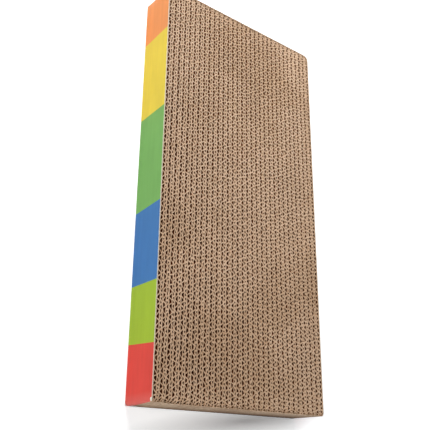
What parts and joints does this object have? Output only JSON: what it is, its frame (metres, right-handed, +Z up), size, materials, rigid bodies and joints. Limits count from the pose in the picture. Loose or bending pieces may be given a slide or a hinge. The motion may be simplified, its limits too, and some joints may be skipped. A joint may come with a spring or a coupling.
{
  "type": "cat scratcher",
  "caption": "Flat block of corrugated cardboard strips with open flutes on both faces, a colour-blocked card band on each long side and kraft on each short end.",
  "frame": {"origin": "middle of the underside of the block, lying flat as it is used", "axes": "+X across the block, with the boards stacked along it; +Y along the block, towards the orange end of the bands; +Z up, out of the upper scratching face"},
  "size_m": [0.1844, 0.38, 0.038],
  "materials": {
    "corrugated_kraft": "matte",
    "white_glue": "matte",
    "kraft_strip": "matte",
    "printed_card": "satin"
  },
  "bodies": {
    "root": {"board_01": "corrugated_kraft", "board_02": "corrugated_kraft", "board_03": "corrugated_kraft", "board_04": "corrugated_kraft", "board_05": "corrugated_kraft", "board_06": "corrugated_kraft", "board_07": "corrugated_kraft", "board_08": "corrugated_kraft", "board_09": "corrugated_kraft", "board_10": "corrugated_kraft", "board_11": "corrugated_kraft", "board_12": "corrugated_kraft", "board_13": "corrugated_kraft", "board_14": "corrugated_kraft", "board_15": "corrugated_kraft", "board_16": "corrugated_kraft", "board_17": "corrugated_kraft", "board_18": "corrugated_kraft", "board_19": "corrugated_kraft", "board_20": "corrugated_kraft", "board_21": "corrugated_kraft", "board_22": "corrugated_kraft", "board_23": "corrugated_kraft", "board_24": "corrugated_kraft", "board_25": "corrugated_kraft", "board_26": "corrugated_kraft", "board_27": "corrugated_kraft", "board_28": "corrugated_kraft", "board_29": "corrugated_kraft", "board_30": "corrugated_kraft", "board_31": "corrugated_kraft", "board_32": "corrugated_kraft", "glue_lines": "white_glue", "end_strip_near": "kraft_strip", "end_strip_far": "kraft_strip", "side_band_left": "printed_card", "side_band_right": "printed_card"}
  },
  "joints": []
}
